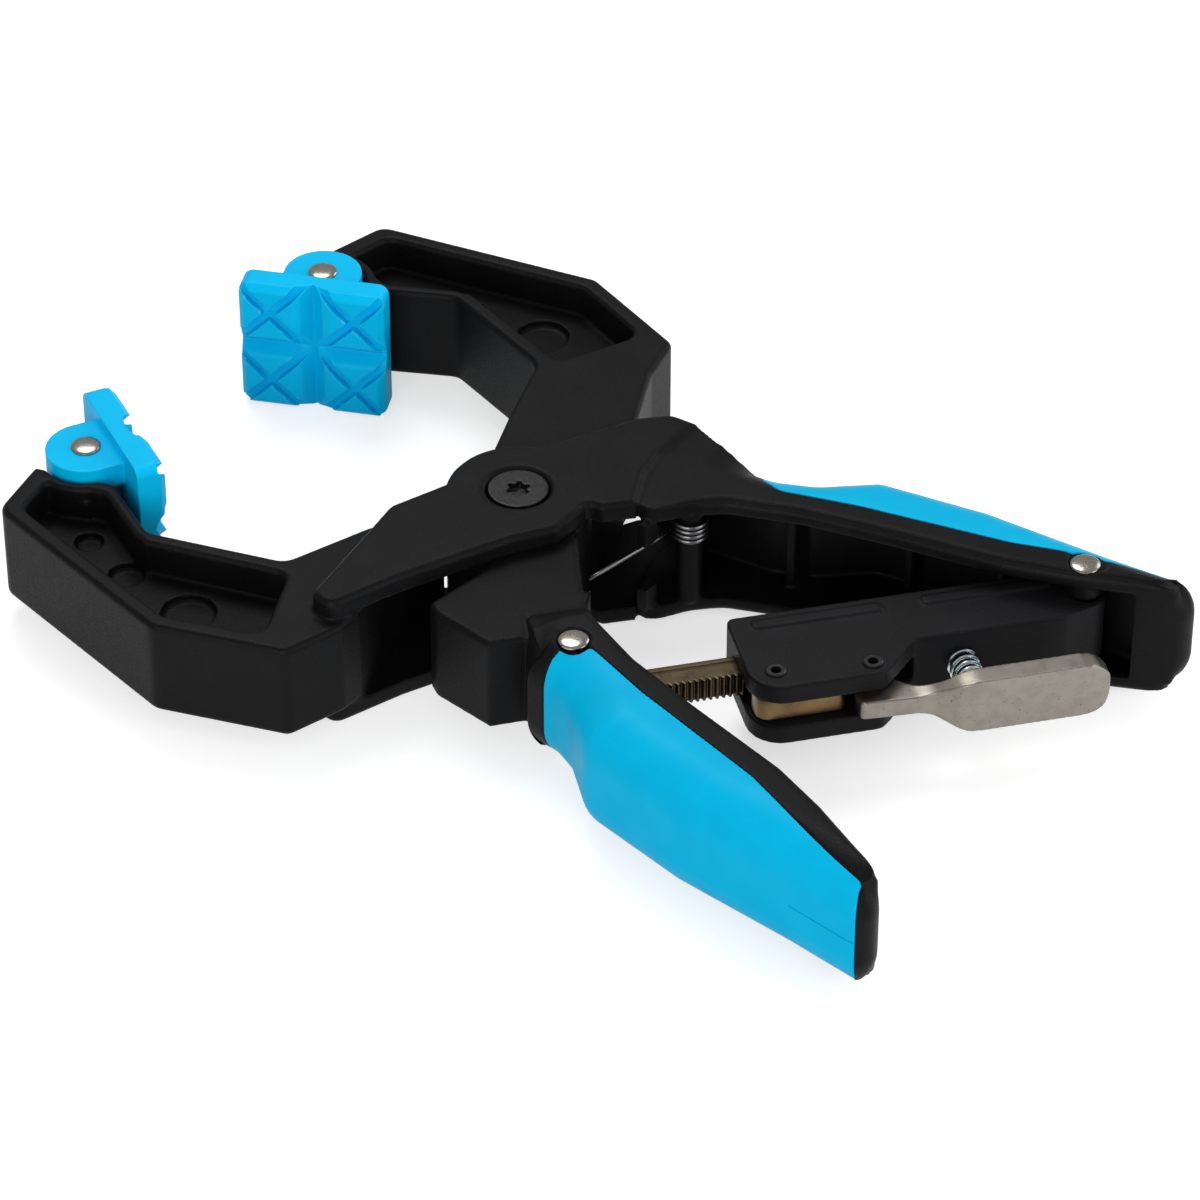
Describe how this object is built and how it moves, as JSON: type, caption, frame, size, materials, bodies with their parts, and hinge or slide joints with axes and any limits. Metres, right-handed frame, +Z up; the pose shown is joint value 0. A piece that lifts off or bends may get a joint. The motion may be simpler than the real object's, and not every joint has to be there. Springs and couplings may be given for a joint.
{
  "type": "ratcheting hand clamp",
  "caption": "Plastic ratcheting hand clamp: crossed jaws with swivelling blue pads, sprung handles with soft grips, a toothed bar and a release trigger.",
  "frame": {"origin": "on the jaw pivot's axis, in the flat plane that the clamp lies on", "axes": "+Z up the pivot, +X from the pivot to the handles, jaws towards -X, the outer arm's handle at +Y"},
  "size_m": [0.2823, 0.1906, 0.04],
  "materials": {
    "black_nylon": "fine grained satin",
    "blue_grip": "soft satin",
    "blue_pad": "soft satin",
    "pin_steel": "polished",
    "black_steel": "black oxide",
    "bush_steel": "turned",
    "spring_steel": "drawn wire",
    "bronzed_steel": "oiled bronze-brown",
    "housing_nylon": "fine grained satin",
    "bronzed_pawl": "yellow chromate",
    "cast_steel": "tumbled satin with fine pits",
    "zinc_spring": "bright zinc"
  },
  "bodies": {
    "outer_arm": {"outer_arm": "black_nylon", "outer_grip": "blue_grip", "pivot_screw": "black_steel", "pivot_nut": "black_steel", "opening_spring": "spring_steel", "housing_pin": "pin_steel"},
    "inner_arm": {"inner_arm": "black_nylon", "inner_grip": "blue_grip", "pivot_bush": "bush_steel", "bar_pin": "pin_steel"},
    "outer_pad": {"outer_jaw_pad": "blue_pad", "outer_pad_pin": "pin_steel"},
    "inner_pad": {"inner_jaw_pad": "blue_pad", "inner_pad_pin": "pin_steel"},
    "bar": {"ratchet_bar": "bronzed_steel"},
    "housing": {"ratchet_housing": "housing_nylon", "pawl_rivet": "black_steel", "trigger_rivet": "black_steel", "trigger_spring": "zinc_spring"},
    "pawl": {"pawl": "bronzed_pawl"},
    "trigger": {"trigger": "cast_steel"}
  },
  "joints": [
    {"name": "jaw_pivot", "type": "hinge", "parent": "outer_arm", "child": "inner_arm", "pos_m": [0, 0, 0.02], "axis": [0, 0, 1], "range_deg": [-4.8, 25.6], "deforming": ["opening_spring"]},
    {"name": "outer_pad_swivel", "type": "hinge", "parent": "outer_arm", "child": "outer_pad", "pos_m": [-0.105, -0.05, 0.02], "axis": [0, 0, 1], "range_deg": [-10, 46]},
    {"name": "inner_pad_swivel", "type": "hinge", "parent": "inner_arm", "child": "inner_pad", "pos_m": [-0.105, 0.05, 0.02], "axis": [0, 0, 1], "range_deg": [-42, 15]},
    {"name": "bar_swing", "type": "hinge", "parent": "inner_arm", "child": "bar", "pos_m": [0.048, -0.0405, 0.02], "axis": [0, 0, 1], "range_deg": [-28.93, 5.43]},
    {"name": "housing_slide", "type": "slide", "parent": "bar", "child": "housing", "axis": [-0.6471, -0.7624, 0], "range_m": [-0.00511, 0.0272]},
    {"name": "trigger_pull", "type": "hinge", "parent": "housing", "child": "trigger", "pos_m": [0.10786, 0.00576, 0.02], "axis": [0, 0, 1], "range_deg": [0, 11], "stiffness_Nm_per_rad": 0.4, "springref_deg": -2.86, "deforming": ["trigger_spring"]},
    {"name": "pawl_lift", "type": "hinge", "parent": "housing", "child": "pawl", "pos_m": [0.09021, -0.01179, 0.02], "axis": [0, 0, 1], "range_deg": [-6.05, 0]}
  ],
  "couplings": [
    {"joint": "bar_swing", "follows": "jaw_pivot", "ratio": -1.13},
    {"joint": "housing_slide", "follows": "jaw_pivot", "m_per_rad": 0.060877},
    {"joint": "pawl_lift", "follows": "trigger_pull", "ratio": -0.545}
  ]
}
